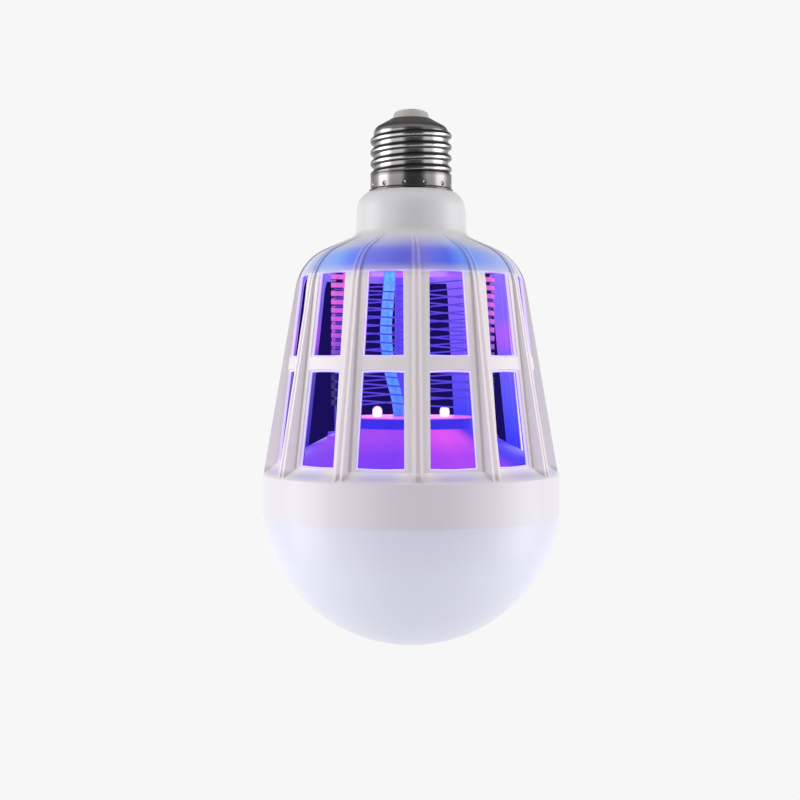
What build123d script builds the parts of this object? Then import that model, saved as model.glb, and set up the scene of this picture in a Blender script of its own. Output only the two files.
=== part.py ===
from build123d import *
from math import asin, atan, cos, degrees, radians, sin, sqrt, tan
import os

os.makedirs("parts", exist_ok=True)

# An insect killer light bulb that hangs cap up. Millimetres, +Z towards the cap.
# The origin is on the bulb's axis, in the plane of the screw cap's lower rim.

# Screw cap: an E27 shell rolled from thin sheet
cap_sheet = 0.5
thread_crest_r = 13.15
thread_root_r = 12.2
thread_pitch = 3.629
thread_half_base = 1.2
thread_start_z = 1.61
thread_turns = 6
thread_fade_z = 18.2
skirt_r = 13.2
skirt_height = 5.4
skirt_step = 0.9
rim_flare = 0.5
rim_height = 0.5
cap_corner_z = 20.5
cap_corner_round = 3.0
cap_top_z = 23.6
cap_top_r = 6.7
cap_hole_r = 5.8
dimple_count = 12
dimple_first_angle = 17.0
dimple_z = 1.9
dimple_ball_r = 1.0
dimple_depth = 0.4

# Insulator cone and the contact rivet on top of it
insulator_foot_r = 6.1
insulator_top_r = 5.3
insulator_top_z = 26.0
insulator_plug = 1.5
insulator_round = 0.9
contact_r = 4.3
contact_thickness = 0.4
rivet_r = 1.5
rivet_tail = 0.4
rivet_foot_z = cap_top_z - insulator_plug - rivet_tail

# General clearances and walls
fit = 0.1
loose_fit = 0.3
neck_wall = 2.2
neck_top_wall = 1.6
panel_wall = 1.6
ring_wall = 2.0

# Cage housing: neck, shoulder, twelve finned bars, ring
bars = 12
spigot_top_z = 14.0
spigot_wall = 1.7
neck_top_r = 17.5
neck_corner_z = -1.77
neck_round = 6.5
neck_foot_r = 18.1
neck_foot_z = -14.3
neck_foot_round = 2.5
panel_top_z = -22.9
panel_foot_z = -88.3
panel_angle = 7.0
shoulder_round = 15.0
roof_extra = 0.4
ring_r = 48.3
ring_top_z = -91.1
ring_foot_z = -105.0
ring_edge_break = 0.5
ledge_width = 4.4
ledge_under_z = ring_top_z - ring_edge_break
panel_foot_r = ring_r - ledge_width
panel_top_r = panel_foot_r - (panel_top_z - panel_foot_z) * tan(radians(panel_angle))
fin_stand = 0.18
fin_shoulder_r = panel_top_r + fin_stand
fin_shoulder_z = -22.0
fin_shoulder_round = 17.0
fin_foot_r = ring_r - loose_fit
fin_root_drop = 1.0
fin_thickness = 0.85
fin_spread = 1.35

# Windows: two rows between the bars, with sloping reveals
bar_width = 7.8
reveal = 0.8
upper_window_top_z = -27.8
upper_window_foot_z = -53.2
lower_window_top_z = -58.5
lower_window_foot_z = -87.3
window_run_in = 1.5
window_run_out = 1.0

# Plate under the shoulder that closes the grid's top
plate_inset = 4.87
plate_r = panel_top_r - plate_inset
plate_top_z = -24.2
plate_thickness = 1.6
plate_screw_inset = 9.0
plate_screw_circle = plate_r - plate_screw_inset
plate_screws_count = 3
plate_boss_r = 2.8

# Six comb posts and the four strands wound round them
posts = 6
post_first_angle = 30.0
post_width = 2.6
post_depth = 3.6
post_inset = 1.8
post_tooth_r = plate_r - post_inset
post_back_r = post_tooth_r - post_depth
post_socket_depth = 0.8
wire_r = 0.25
wire_depth = 0.8
wire_line_r = post_tooth_r - wire_depth
wire_spacing = 2.65
wire_top_z = -27.0
strands = 4
notch_height = 0.8
notch_bite = 0.05
comb_foot_z = -69.6
strand_runs = [24, 23, 21, 20]
strand_names = ["live_wire_1", "return_wire_1", "live_wire_2", "return_wire_2"]

# Tray under the grid: platform, sloping floor, flange
platform_gap = 4.6
platform_r = post_back_r - platform_gap
platform_z = -73.0
platform_foot_z = -76.3
platform_round = 0.4
tray_rim_inset = 6.5
tray_rim_r = ring_r - tray_rim_inset
tray_rim_z = -86.8
tray_wall = 1.8
flange_r = ring_r - ring_wall - loose_fit
flange_thickness = 1.6
socket_wall = 1.0
socket_top_z = -78.6
socket_floor_z = -79.8

# Violet lamps in the platform and their board: a third of the way from the lead's hole to the edge
uv_lamps = 4
sleeve_hole_r = 2.35
platform_lead_x = -3.65
lead_edge_r = sleeve_hole_r - platform_lead_x
uv_circle_r = lead_edge_r + (platform_r - lead_edge_r) / 3
uv_r = 1.6
uv_tip_z = -69.6
uv_flange_r = 1.9
uv_flange_height = 1.0
uv_pin_r = 0.25
uv_pin_gap = 2.54
uv_board_inset = 4.0
uv_board_r = platform_r - uv_board_inset
uv_board_top_z = -77.0
board_thickness = 1.2
uv_peg_circle = uv_board_r * 2 / 3
uv_peg_angles = [45, 225]
uv_peg_r = 2.0

# Mains lead between the cap and the driver, in a light sleeve
sleeve_r = 1.95
sleeve_bore_r = 1.6
core_r = 0.55
core_offset = 0.65
sleeve_route = [
    (-6.7, -20.5), (-7.2, -32.0), (-8.5, -46.0), (-6.9, -58.5), (-4.2, -68.0), (-3.4, -77.0),
]
live_rise = [(0.0, rivet_foot_z), (0.0, 13.0), (-4.4, -4.0)]
neutral_rise = [(-11.6, 16.0), (-7.4, 16.0), (-7.0, 9.0), (-6.4, -6.0)]
core_fall = [(-4.4, -86.5), (-4.4, -95.4)]
plate_lead_x = -6.9

# Driver board under the tray
driver_inset = 8.8
driver_r = tray_rim_r - driver_inset
driver_top_z = core_fall[-1][1]
driver_thickness = 1.6
pillar_inset = 7.0
pillar_circle = driver_r - pillar_inset
pillar_r = 2.4
pillar_angles = [60, 180, 300]
tail_hole_r = 0.45
tail_end = 0.4
capacitor_place = (9.5, -6.0)
capacitor_r = 5.0
capacitor_height = 12.5
capacitor_round = 0.8
choke_place = (-13.0, -7.0)
choke_r = 4.0
choke_waist_r = 2.6
choke_height = 9.0
choke_rim = 1.5
transformer_place = (21.0, 4.5)
transformer_height = 11.0
core_length = 12.0
core_width = 5.0
core_window = 2.6
core_window_place = 2.9
core_yoke = 2.0
winding_width = 9.6
winding_round = 2.0
film_place = (5.0, 12.5)
film_size = (13.0, 6.0, 11.0)
film_round = 1.0
rectifier_place = (-14.0, 9.0)
rectifier_size = (8.5, 6.4, 2.8)
rectifier_round = 0.4
chip_place = (-3.0, 21.0)
chip_size = (5.0, 4.0, 1.6)
chip_round = 0.3
boost_stages = 4
boost_first_x = -8.0
boost_pitch = 5.0
boost_row_y = -22.5
boost_disc_r = 3.5
boost_disc_thickness = 2.6
diode_row_y = -15.6
diode_pitch = 5.0
diode_r = 1.3
diode_length = 5.0
fuse_place = (-17.5, -15.5)
fuse_r = 1.75
fuse_length = 9.0
fuse_round = 0.6
uv_lead_places = [(2.5, 3.0), (2.5, 5.2)]
panel_lead_places = [(-8.0, 3.0), (-8.0, 5.2)]

# Plate that carries the white lamps
panel_inset = 4.1
panel_r = ring_r - panel_inset
panel_z = -101.8
panel_thickness = 1.6
boss_inset = 6.6
boss_circle = panel_r - boss_inset
boss_r = 3.0
boss_angles = [0, 120, 240]
white_rows = [(16.0, 6), (32.0, 12)]
white_size = (3.5, 2.8, 0.8)

# Screws: shank radius and depth in what they are driven into
screw_head_ratio = 1.9
panel_screw_r = 1.45
panel_screw_length = 8.0
board_screw_r = 1.1
board_screw_length = 6.0
uv_screw_r = 0.9
uv_screw_length = 2.2
plate_screw_length = 4.0
screw_r = 1.1
countersink_r = 2.2

# Diffuser dome with a collar that goes up inside the ring
dome_bulge = 0.4
dome_r = ring_r + dome_bulge
dome_centre_lift = 6.5
dome_centre_z = ring_foot_z + dome_centre_lift
dome_wall = 1.6
collar_wall = 1.6
snap_lift = 6.0
snap_z = ring_foot_z + snap_lift
snap_height = 1.2
snap_depth = 0.3


def radial_plane(angle):
    """Upright plane through the axis: across is outwards, up is +Z."""
    outwards = (cos(radians(angle)), sin(radians(angle)), 0)
    return Plane(origin=(0, 0, 0), x_dir=outwards, z_dir=(outwards[1], -outwards[0], 0))


def outline(*corners):
    """Closed face from corners given as (across, up) or (across, up, rounding)."""
    with BuildLine() as edge:
        FilletPolyline(
            *[corner[:2] for corner in corners],
            radius=[corner[2] if len(corner) > 2 else 0 for corner in corners],
            close=True,
        )
    make_face(edge.line)


def panel_r_at(z):
    """Outer radius of the conical panel at a height."""
    return panel_foot_r - (z - panel_foot_z) * tan(radians(panel_angle))


def panel_bore_at(z):
    return panel_r_at(z) - panel_wall


def bend_radii(route, share=0.45):
    """One radius for each inner corner, as large as that share of the shorter run beside it allows."""
    points = [Vector(*point) for point in route]
    radii = []
    for before, corner, after in zip(points, points[1:], points[2:]):
        turn = (corner - before).get_angle(after - corner)
        shorter = min((corner - before).length, (after - corner).length)
        radii.append(share * shorter / tan(radians(turn / 2)))
    return radii


def finish(piece, name):
    piece.part.label = name
    export_step(piece.part, f"parts/{name}.step")


# Cap shell: skirt, thread and shoulder of one thin sheet
thread_bore_r = thread_root_r - cap_sheet
skirt_bore_r = skirt_r - cap_sheet
skirt_top_z = skirt_height + skirt_step

with BuildPart() as thread_ridge:
    with BuildLine() as thread_line:
        Helix(thread_pitch, thread_turns * thread_pitch, thread_root_r, center=(0, 0, thread_start_z))
    with BuildSketch(Plane.XZ.move(Location((0, 0, thread_start_z)))):
        with BuildLine():
            buried = thread_root_r - cap_sheet / 2
            ThreePointArc((buried, -thread_half_base), (thread_crest_r, 0), (buried, thread_half_base))
            Line((buried, thread_half_base), (buried, -thread_half_base))
        make_face()
    sweep(path=thread_line.line, is_frenet=True)
    with BuildSketch(Plane.XZ):
        outline(
            (buried - fit, skirt_top_z - cap_sheet / 2),
            (skirt_r - cap_sheet / 2, skirt_height - cap_sheet / 2),
            (skirt_r + fit, skirt_height - cap_sheet / 2),
            (skirt_r + fit, thread_fade_z),
            (thread_root_r - fit, cap_corner_z),
            (buried - fit, cap_corner_z),
        )
    revolve(axis=Axis.Z, mode=Mode.INTERSECT)

with BuildPart() as cap_shell:
    with BuildSketch(Plane.XZ):
        outline(
            (skirt_bore_r, 0),
            (skirt_r + rim_flare, 0),
            (skirt_r + rim_flare, rim_height),
            (skirt_r, rim_height + rim_flare),
            (skirt_r, skirt_height),
            (thread_root_r, skirt_top_z),
            (thread_root_r, cap_corner_z, cap_corner_round),
            (cap_top_r, cap_top_z),
            (cap_hole_r, cap_top_z),
            (cap_hole_r, cap_top_z - cap_sheet),
            (cap_top_r - cap_sheet / 2, cap_top_z - cap_sheet),
            (thread_bore_r, cap_corner_z - cap_sheet / 2, cap_corner_round - cap_sheet),
            (thread_bore_r, skirt_top_z - fit),
            (skirt_bore_r, skirt_height - fit),
        )
    revolve(axis=Axis.Z)
    add(thread_ridge.part)
    with Locations((0, 0, dimple_z)):
        with PolarLocations(skirt_r + dimple_ball_r - dimple_depth, dimple_count, dimple_first_angle):
            Sphere(dimple_ball_r, mode=Mode.SUBTRACT)

# Insulator cone
with BuildPart() as cap_insulator:
    with BuildSketch(Plane.XZ):
        outline(
            (rivet_r + fit, insulator_top_z),
            (insulator_top_r, insulator_top_z, insulator_round),
            (insulator_foot_r, cap_top_z),
            (cap_hole_r - fit, cap_top_z),
            (cap_hole_r - fit, cap_top_z - insulator_plug),
            (rivet_r + fit, cap_top_z - insulator_plug),
        )
    revolve(axis=Axis.Z)

# Centre contact: a rivet with a flat head
with BuildPart() as centre_contact:
    with BuildSketch(Plane.XZ):
        outline(
            (0, insulator_top_z + contact_thickness),
            (contact_r, insulator_top_z + contact_thickness, contact_thickness / 2),
            (contact_r, insulator_top_z),
            (rivet_r, insulator_top_z),
            (rivet_r, rivet_foot_z),
            (0, rivet_foot_z),
        )
    revolve(axis=Axis.Z)

# Housing, one moulding
spigot_r = thread_bore_r - fit
spigot_bore_r = spigot_r - spigot_wall
neck_bore_r = neck_foot_r - neck_wall
neck_top_bore_r = neck_top_r - neck_top_wall
roof_slope = (neck_foot_z - panel_top_z) / (panel_top_r - neck_foot_r)
roof_drop = panel_wall + roof_extra
bore_top_z = panel_top_z - panel_wall
ring_bore_r = ring_r - ring_wall
bar_angles = [360 / bars * i for i in range(bars)]
fin_angles = [angle + side for angle in bar_angles for side in (-fin_spread, fin_spread)]
window_angles = [angle + 180 / bars for angle in bar_angles]


def half_window(z):
    """Half width of an opening at the inner face, beside a bar of constant width."""
    bore = panel_bore_at(z)
    half_bar_angle = degrees(asin(bar_width / 2 / bore))
    return bore * sin(radians(180 / bars - half_bar_angle))


def window_outline(top_z, foot_z, face_z, shrink):
    """One opening on the panel's slope, as seen square on from outside."""
    slope = cos(radians(panel_angle))
    top_y = (top_z - face_z) / slope - shrink
    foot_y = (foot_z - face_z) / slope + shrink
    top_x = half_window(top_z) - shrink
    foot_x = half_window(foot_z) - shrink
    outline((-top_x, top_y), (top_x, top_y), (foot_x, foot_y), (-foot_x, foot_y))


def window_plane(angle, z, set_back):
    """Plane parallel to the panel's slope, behind its inner face."""
    outwards = Vector(cos(radians(angle)), sin(radians(angle)), 0)
    tilt = radians(panel_angle)
    normal = outwards * cos(tilt) + Vector(0, 0, sin(tilt))
    origin = outwards * panel_bore_at(z) + Vector(0, 0, z) - normal * set_back
    return Plane(origin=origin, x_dir=(-outwards.Y, outwards.X, 0), z_dir=normal)


reveal_slope = reveal / panel_wall
window_shrink = window_run_in * reveal_slope
window_depth = window_run_in + panel_wall + window_run_out

with BuildPart() as housing:
    with BuildSketch(Plane.XZ):
        outline(
            (spigot_bore_r, spigot_top_z),
            (spigot_r, spigot_top_z),
            (spigot_r, skirt_top_z - loose_fit),
            (skirt_bore_r - fit, skirt_height - loose_fit),
            (skirt_bore_r - fit, 0),
            (skirt_r + rim_flare, 0),
            (neck_top_r, neck_corner_z, neck_round),
            (neck_foot_r, neck_foot_z, neck_foot_round),
            (panel_top_r, panel_top_z, shoulder_round),
            (panel_foot_r, panel_foot_z),
            (ring_r - ring_edge_break, ring_top_z),
            (ring_r, ring_top_z - ring_edge_break),
            (ring_r, ring_foot_z),
            (ring_bore_r, ring_foot_z),
            (ring_bore_r, snap_z - snap_height),
            (ring_bore_r + snap_depth + fit, snap_z - snap_height / 2),
            (ring_bore_r + snap_depth + fit, snap_z + snap_height / 2),
            (ring_bore_r, snap_z + snap_height),
            (ring_bore_r, ledge_under_z),
            (panel_bore_at(ledge_under_z), ledge_under_z),
            (panel_bore_at(bore_top_z), bore_top_z, shoulder_round - panel_wall),
            (neck_bore_r, neck_foot_z - roof_drop + roof_slope * neck_wall, neck_foot_round),
            (neck_top_bore_r, neck_corner_z - neck_wall, neck_round - neck_wall),
            (spigot_bore_r, neck_wall / 2),
        )
    revolve(axis=Axis.Z)
    with BuildSketch(*[radial_plane(angle) for angle in fin_angles]):
        outline(
            (neck_foot_r, neck_foot_z),
            (fin_shoulder_r, fin_shoulder_z, fin_shoulder_round),
            (fin_foot_r, ring_top_z - ring_edge_break / 2),
            (panel_foot_r, ring_top_z - ring_edge_break / 2),
            (panel_top_r - panel_wall / 2, panel_top_z - panel_wall / 2, shoulder_round),
            (neck_foot_r - neck_wall / 2, neck_foot_z - fin_root_drop),
        )
    extrude(amount=fin_thickness / 2, both=True)
    with BuildSketch(*[window_plane(angle, upper_window_top_z, window_run_in) for angle in window_angles]):
        window_outline(upper_window_top_z, upper_window_foot_z, upper_window_top_z, window_shrink)
        window_outline(lower_window_top_z, lower_window_foot_z, upper_window_top_z, window_shrink)
    extrude(amount=window_depth, taper=-degrees(atan(reveal_slope)), mode=Mode.SUBTRACT)
    with BuildSketch(Plane.XY.offset(plate_top_z)):
        with PolarLocations(plate_screw_circle, plate_screws_count):
            Circle(plate_boss_r)
    extrude(until=Until.NEXT)
    with BuildSketch(Plane.XY.offset(plate_top_z)):
        with PolarLocations(plate_screw_circle, plate_screws_count):
            Circle(screw_r + fit)
    extrude(amount=plate_screw_length, mode=Mode.SUBTRACT)

# The moulding is kept as simpler pieces, parted at the windows' ends and along the bars
with BuildPart() as upper_housing:
    add(housing.part)
    split(bisect_by=Plane.XY.offset(upper_window_top_z), keep=Keep.TOP)

with BuildPart() as cage_bars:
    with BuildSketch(Plane.XY.offset(lower_window_foot_z)):
        with PolarLocations(ring_r / 2, bars):
            Rectangle(ring_r, bar_width)
    extrude(amount=upper_window_top_z - lower_window_foot_z)
    add(housing.part, mode=Mode.INTERSECT)

with BuildPart() as cross_bars:
    with BuildSketch(Plane.XY.offset(lower_window_top_z)):
        Circle(ring_r)
    extrude(amount=upper_window_foot_z - lower_window_top_z)
    add(housing.part, mode=Mode.INTERSECT)
    add(cage_bars.part, mode=Mode.SUBTRACT)

with BuildPart() as base_ring:
    add(housing.part)
    split(bisect_by=Plane.XY.offset(lower_window_foot_z), keep=Keep.BOTTOM)

for piece, name in (
    (cap_shell, "cap_shell"),
    (cap_insulator, "cap_insulator"),
    (centre_contact, "centre_contact"),
    (upper_housing, "upper_housing"),
    (cage_bars, "cage_bars"),
    (cross_bars, "cross_bars"),
    (base_ring, "base_ring"),
):
    finish(piece, name)

# Plate that closes the top of the grid
post_angles = [post_first_angle + 360 / posts * i for i in range(posts)]
plate_under_z = plate_top_z - plate_thickness

with BuildPart() as grid_top_plate:
    with BuildSketch(Plane.XY.offset(plate_under_z)):
        Circle(plate_r)
        with Locations((plate_lead_x, 0)):
            Circle(sleeve_hole_r, mode=Mode.SUBTRACT)
    extrude(amount=plate_thickness)
    with Locations(Location((0, 0, plate_under_z), (180, 0, 0))):
        with PolarLocations(plate_screw_circle, plate_screws_count):
            CounterSinkHole(screw_r + fit, countersink_r + fit)
    with BuildSketch(Plane.XY.offset(plate_under_z)):
        with PolarLocations((post_back_r + post_tooth_r) / 2, posts, post_first_angle):
            Rectangle(post_tooth_r - post_back_r + 2 * fit, post_width + 2 * fit)
    extrude(amount=post_socket_depth, mode=Mode.SUBTRACT)
finish(grid_top_plate, "grid_top_plate")

# Comb posts: a wire lies in every notch
turn_pitch = wire_spacing * strands
step_drop = turn_pitch / posts
nose_r = wire_line_r - wire_r - notch_bite
nose_slope = tan(radians(180 / posts))
post_top_z = plate_under_z + post_socket_depth
post_length = post_top_z - socket_floor_z


def notch_heights(index):
    """Heights at which the strands cross a post, down to the comb's foot."""
    heights = []
    z = wire_top_z - step_drop * index
    while z + wire_spacing < wire_top_z + step_drop:
        z += wire_spacing
    while z > comb_foot_z:
        heights.append(z)
        z -= wire_spacing
    return heights


for index, angle in enumerate(post_angles):
    outwards = Vector(cos(radians(angle)), sin(radians(angle)), 0)
    with BuildPart() as comb_post:
        with BuildSketch(Plane(origin=(0, 0, socket_floor_z), x_dir=outwards, z_dir=(0, 0, 1))):
            with Locations(((post_back_r + post_tooth_r) / 2, 0)):
                Rectangle(post_tooth_r - post_back_r, post_width)
        extrude(amount=post_length)
        gaps = [(z - notch_height / 2, notch_height) for z in notch_heights(index)]
        gaps.append((socket_floor_z, comb_foot_z - socket_floor_z))
        for foot_z, height in gaps:
            with BuildSketch(Plane(origin=(0, 0, foot_z), x_dir=outwards, z_dir=(0, 0, 1))):
                with BuildLine():
                    Polyline(
                        (nose_r - nose_slope * post_width, -post_width),
                        (nose_r, 0),
                        (nose_r - nose_slope * post_width, post_width),
                        (post_tooth_r + 1, post_width),
                        (post_tooth_r + 1, -post_width),
                        close=True,
                    )
                make_face()
            extrude(amount=height, mode=Mode.SUBTRACT)
    finish(comb_post, f"comb_post_{index + 1}")

# Strands: each goes down round the posts, then down its last post to the driver board
driver_under_z = driver_top_z - driver_thickness


def post_point(turn_step, z):
    angle = radians(post_angles[turn_step % posts])
    return (wire_line_r * cos(angle), wire_line_r * sin(angle), z)


for index, (runs, name) in enumerate(zip(strand_runs, strand_names)):
    first_z = wire_top_z - wire_spacing * index
    corners = [post_point(i, first_z - step_drop * i) for i in range(runs + 1)]
    corners.append(post_point(runs, driver_under_z - tail_end))
    with BuildPart() as strand:
        with BuildLine() as winding:
            Polyline(*corners)
        with BuildSketch(Plane(origin=winding.line @ 0, z_dir=winding.line % 0)):
            Circle(wire_r)
        sweep(path=winding.line, transition=Transition.RIGHT)
    finish(strand, name)

# Tray: platform, sloping floor, skirt and flange
platform_under_z = platform_z - flange_thickness
floor_slope = (platform_foot_z - tray_rim_z) / (tray_rim_r - platform_r)
floor_drop = tray_wall * sqrt(1 + floor_slope**2)
skirt_in_r = tray_rim_r - tray_wall
lamp_angles = [360 / uv_lamps * i for i in range(uv_lamps)]


def floor_under_at(r):
    return platform_foot_z - floor_drop - floor_slope * (r - platform_r)


socket_length = post_tooth_r - post_back_r
socket_circle = (post_back_r + post_tooth_r) / 2

with BuildPart() as base_tray:
    for z, circle, radius, angles in (
        (panel_z, boss_circle, boss_r, boss_angles),
        (driver_top_z, pillar_circle, pillar_r, pillar_angles),
        (uv_board_top_z, uv_peg_circle, uv_peg_r, uv_peg_angles),
    ):
        with BuildSketch(Plane.XY.offset(z)):
            with PolarLocations(circle, len(angles), angles[0]):
                Circle(radius)
        extrude(amount=platform_z - z)
    with BuildSketch(Plane.XZ):
        outline(
            (0, platform_z - flange_thickness / 2),
            (platform_r - tray_wall / 2, platform_z - flange_thickness / 2),
            (platform_r - tray_wall / 2, platform_foot_z - tray_wall / 2),
            (tray_rim_r - tray_wall / 2, tray_rim_z - tray_wall / 2),
            (tray_rim_r - tray_wall / 2, panel_z),
            (0, panel_z),
        )
    revolve(axis=Axis.Z, mode=Mode.INTERSECT)
    with BuildSketch(Plane.XY.offset(socket_top_z)):
        with PolarLocations(socket_circle, posts, post_first_angle):
            Rectangle(socket_length + 2 * socket_wall, post_width + 2 * socket_wall)
    extrude(amount=socket_floor_z - flange_thickness - socket_top_z)
    with BuildSketch(Plane.XZ):
        outline(
            (0, platform_z),
            (platform_r, platform_z, platform_round),
            (platform_r, platform_foot_z),
            (tray_rim_r, tray_rim_z),
            (tray_rim_r, ledge_under_z),
            (flange_r, ledge_under_z),
            (flange_r, ledge_under_z - flange_thickness),
            (skirt_in_r, ledge_under_z - flange_thickness),
            (skirt_in_r, floor_under_at(skirt_in_r)),
            (platform_r - tray_wall, floor_under_at(platform_r - tray_wall)),
            (platform_r - tray_wall, platform_under_z),
            (0, platform_under_z),
        )
    revolve(axis=Axis.Z)
    with BuildSketch(Plane.XY.offset(socket_top_z)):
        with PolarLocations(socket_circle, posts, post_first_angle):
            Rectangle(socket_length + 2 * fit, post_width + 2 * fit)
    extrude(amount=socket_floor_z - socket_top_z, mode=Mode.SUBTRACT)
    with BuildSketch(Plane.XY.offset(socket_top_z)):
        with PolarLocations(wire_line_r, posts, post_first_angle):
            Circle(tail_hole_r)
    extrude(amount=driver_top_z - socket_top_z, mode=Mode.SUBTRACT)
    with BuildSketch(Plane.XY.offset(platform_z)):
        with PolarLocations(uv_circle_r, uv_lamps):
            Circle(uv_r + fit)
        with Locations((platform_lead_x, 0)):
            Circle(sleeve_hole_r)
    extrude(amount=-flange_thickness, mode=Mode.SUBTRACT)
    for z, circle, radius, angles, depth in (
        (panel_z, boss_circle, panel_screw_r, boss_angles, panel_screw_length),
        (driver_top_z, pillar_circle, board_screw_r, pillar_angles, board_screw_length),
        (uv_board_top_z, uv_peg_circle, uv_screw_r, uv_peg_angles, uv_screw_length),
    ):
        with BuildSketch(Plane.XY.offset(z)):
            with PolarLocations(circle, len(angles), angles[0]):
                Circle(radius + fit)
        extrude(amount=depth, mode=Mode.SUBTRACT)
finish(base_tray, "base_tray")

# Violet lamps: flange under the platform, dome above it, two pins into the board
with BuildPart() as uv_board:
    with BuildSketch(Plane.XY.offset(uv_board_top_z)):
        Circle(uv_board_r)
        with Locations((platform_lead_x, 0)):
            Circle(sleeve_r + 2 * loose_fit, mode=Mode.SUBTRACT)
        with PolarLocations(uv_circle_r, uv_lamps):
            with Locations((0, -uv_pin_gap / 2), (0, uv_pin_gap / 2)):
                Circle(uv_pin_r + fit, mode=Mode.SUBTRACT)
        with PolarLocations(uv_peg_circle, len(uv_peg_angles), uv_peg_angles[0]):
            Circle(uv_screw_r + fit, mode=Mode.SUBTRACT)
    extrude(amount=-board_thickness)
finish(uv_board, "uv_board")

uv_board_under_z = uv_board_top_z - board_thickness
uv_flange_top_z = platform_under_z - fit
pin_length = uv_flange_top_z - uv_board_top_z + board_thickness + tail_end
standing = (Align.CENTER, Align.CENTER, Align.MIN)
hanging = (Align.CENTER, Align.CENTER, Align.MAX)
for index, angle in enumerate(lamp_angles):
    outwards = Vector(cos(radians(angle)), sin(radians(angle)), 0)
    with BuildPart() as uv_lamp:
        with Locations(Location(outwards * uv_circle_r, (0, 0, angle))):
            with Locations((0, 0, uv_tip_z - uv_r)):
                Sphere(uv_r)
            with Locations((0, 0, uv_flange_top_z)):
                Cylinder(uv_r, uv_tip_z - uv_r - uv_flange_top_z, align=standing)
                Cylinder(uv_flange_r, uv_flange_height, align=hanging)
            with Locations(*[(0, side * uv_pin_gap / 2, uv_flange_top_z) for side in (-1, 1)]):
                Cylinder(uv_pin_r, pin_length, align=hanging)
    finish(uv_lamp, f"uv_led_{index + 1}")

# Mains lead: two cores side by side in one sleeve
with BuildPart() as lead_sleeve:
    with BuildLine(Plane.XZ) as sleeve_line:
        FilletPolyline(*sleeve_route, radius=bend_radii(sleeve_route))
    with BuildSketch(Plane(origin=sleeve_line.line @ 0, z_dir=sleeve_line.line % 0)):
        Circle(sleeve_r)
        Circle(sleeve_bore_r, mode=Mode.SUBTRACT)
    sweep(path=sleeve_line.line)
finish(lead_sleeve, "lead_sleeve")
print("Bend radii of the mains lead, in mm:", [round(radius, 1) for radius in bend_radii(sleeve_route)])

for rise, side, name in ((live_rise, -1, "live_lead"), (neutral_rise, 1, "neutral_lead")):
    route = rise + sleeve_route + core_fall
    with BuildPart() as core:
        with BuildLine(Plane.XZ.offset(side * core_offset)) as core_line:
            FilletPolyline(*route, radius=bend_radii(route))
        with BuildSketch(Plane(origin=core_line.line @ 0, z_dir=core_line.line % 0)):
            Circle(core_r)
        sweep(path=core_line.line)
    finish(core, name)

# Driver board and what is soldered to it
with BuildPart() as driver_board:
    with BuildSketch(Plane.XY.offset(driver_under_z)):
        Circle(driver_r)
        with PolarLocations(wire_line_r, posts, post_first_angle):
            Circle(tail_hole_r, mode=Mode.SUBTRACT)
        with PolarLocations(pillar_circle, len(pillar_angles), pillar_angles[0]):
            Circle(board_screw_r + fit, mode=Mode.SUBTRACT)
    extrude(amount=driver_thickness)
finish(driver_board, "driver_board")

with BuildPart() as smoothing_capacitor:
    with BuildSketch(Plane.XY.offset(driver_top_z)):
        with Locations(capacitor_place):
            Circle(capacitor_r)
    extrude(amount=capacitor_height)
    fillet(smoothing_capacitor.faces().sort_by(Axis.Z)[-1].edges(), radius=capacitor_round)
finish(smoothing_capacitor, "smoothing_capacitor")

with BuildPart() as filter_choke:
    with BuildSketch(Plane.XY.offset(driver_top_z)):
        with Locations(choke_place):
            Circle(choke_r)
    extrude(amount=choke_height)
    with BuildSketch(Plane.XY.offset(driver_top_z + choke_rim)):
        with Locations(choke_place):
            Circle(choke_r)
            Circle(choke_waist_r, mode=Mode.SUBTRACT)
    extrude(amount=choke_height - 2 * choke_rim, mode=Mode.SUBTRACT)
finish(filter_choke, "filter_choke")

with BuildPart() as transformer_core:
    with BuildSketch(Plane.XY.offset(driver_top_z)):
        with Locations(transformer_place):
            Rectangle(core_length, core_width)
            with Locations((-core_window_place, 0), (core_window_place, 0)):
                Rectangle(core_window, core_width, mode=Mode.SUBTRACT)
    extrude(amount=transformer_height)
    with BuildSketch(Plane.XY.offset(driver_top_z)):
        with Locations(transformer_place):
            Rectangle(core_length, core_width)
    extrude(amount=core_yoke)
    with BuildSketch(Plane.XY.offset(driver_top_z + transformer_height)):
        with Locations(transformer_place):
            Rectangle(core_length, core_width)
    extrude(amount=-core_yoke)
finish(transformer_core, "transformer_core")

core_leg = 2 * core_window_place - core_window
with BuildPart() as transformer_winding:
    with BuildSketch(Plane.XY.offset(driver_top_z + core_yoke + fit)):
        with Locations(transformer_place):
            RectangleRounded(core_leg + 2 * core_window - 2 * fit, winding_width, winding_round)
            Rectangle(core_leg + 2 * fit, core_width + 2 * fit, mode=Mode.SUBTRACT)
    extrude(amount=transformer_height - 2 * core_yoke - 2 * fit)
finish(transformer_winding, "transformer_winding")

for name, size, place, rounding in (
    ("film_capacitor", film_size, film_place, film_round),
    ("bridge_rectifier", rectifier_size, rectifier_place, rectifier_round),
    ("control_chip", chip_size, chip_place, chip_round),
):
    with BuildPart() as block:
        with BuildSketch(Plane.XY.offset(driver_top_z)):
            with Locations(place):
                Rectangle(size[0], size[1])
        extrude(amount=size[2])
        fillet(block.edges().filter_by(Axis.Z), radius=rounding)
        chamfer(block.faces().sort_by(Axis.Z)[-1].edges(), length=rounding / 2)
    finish(block, name)

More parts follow.
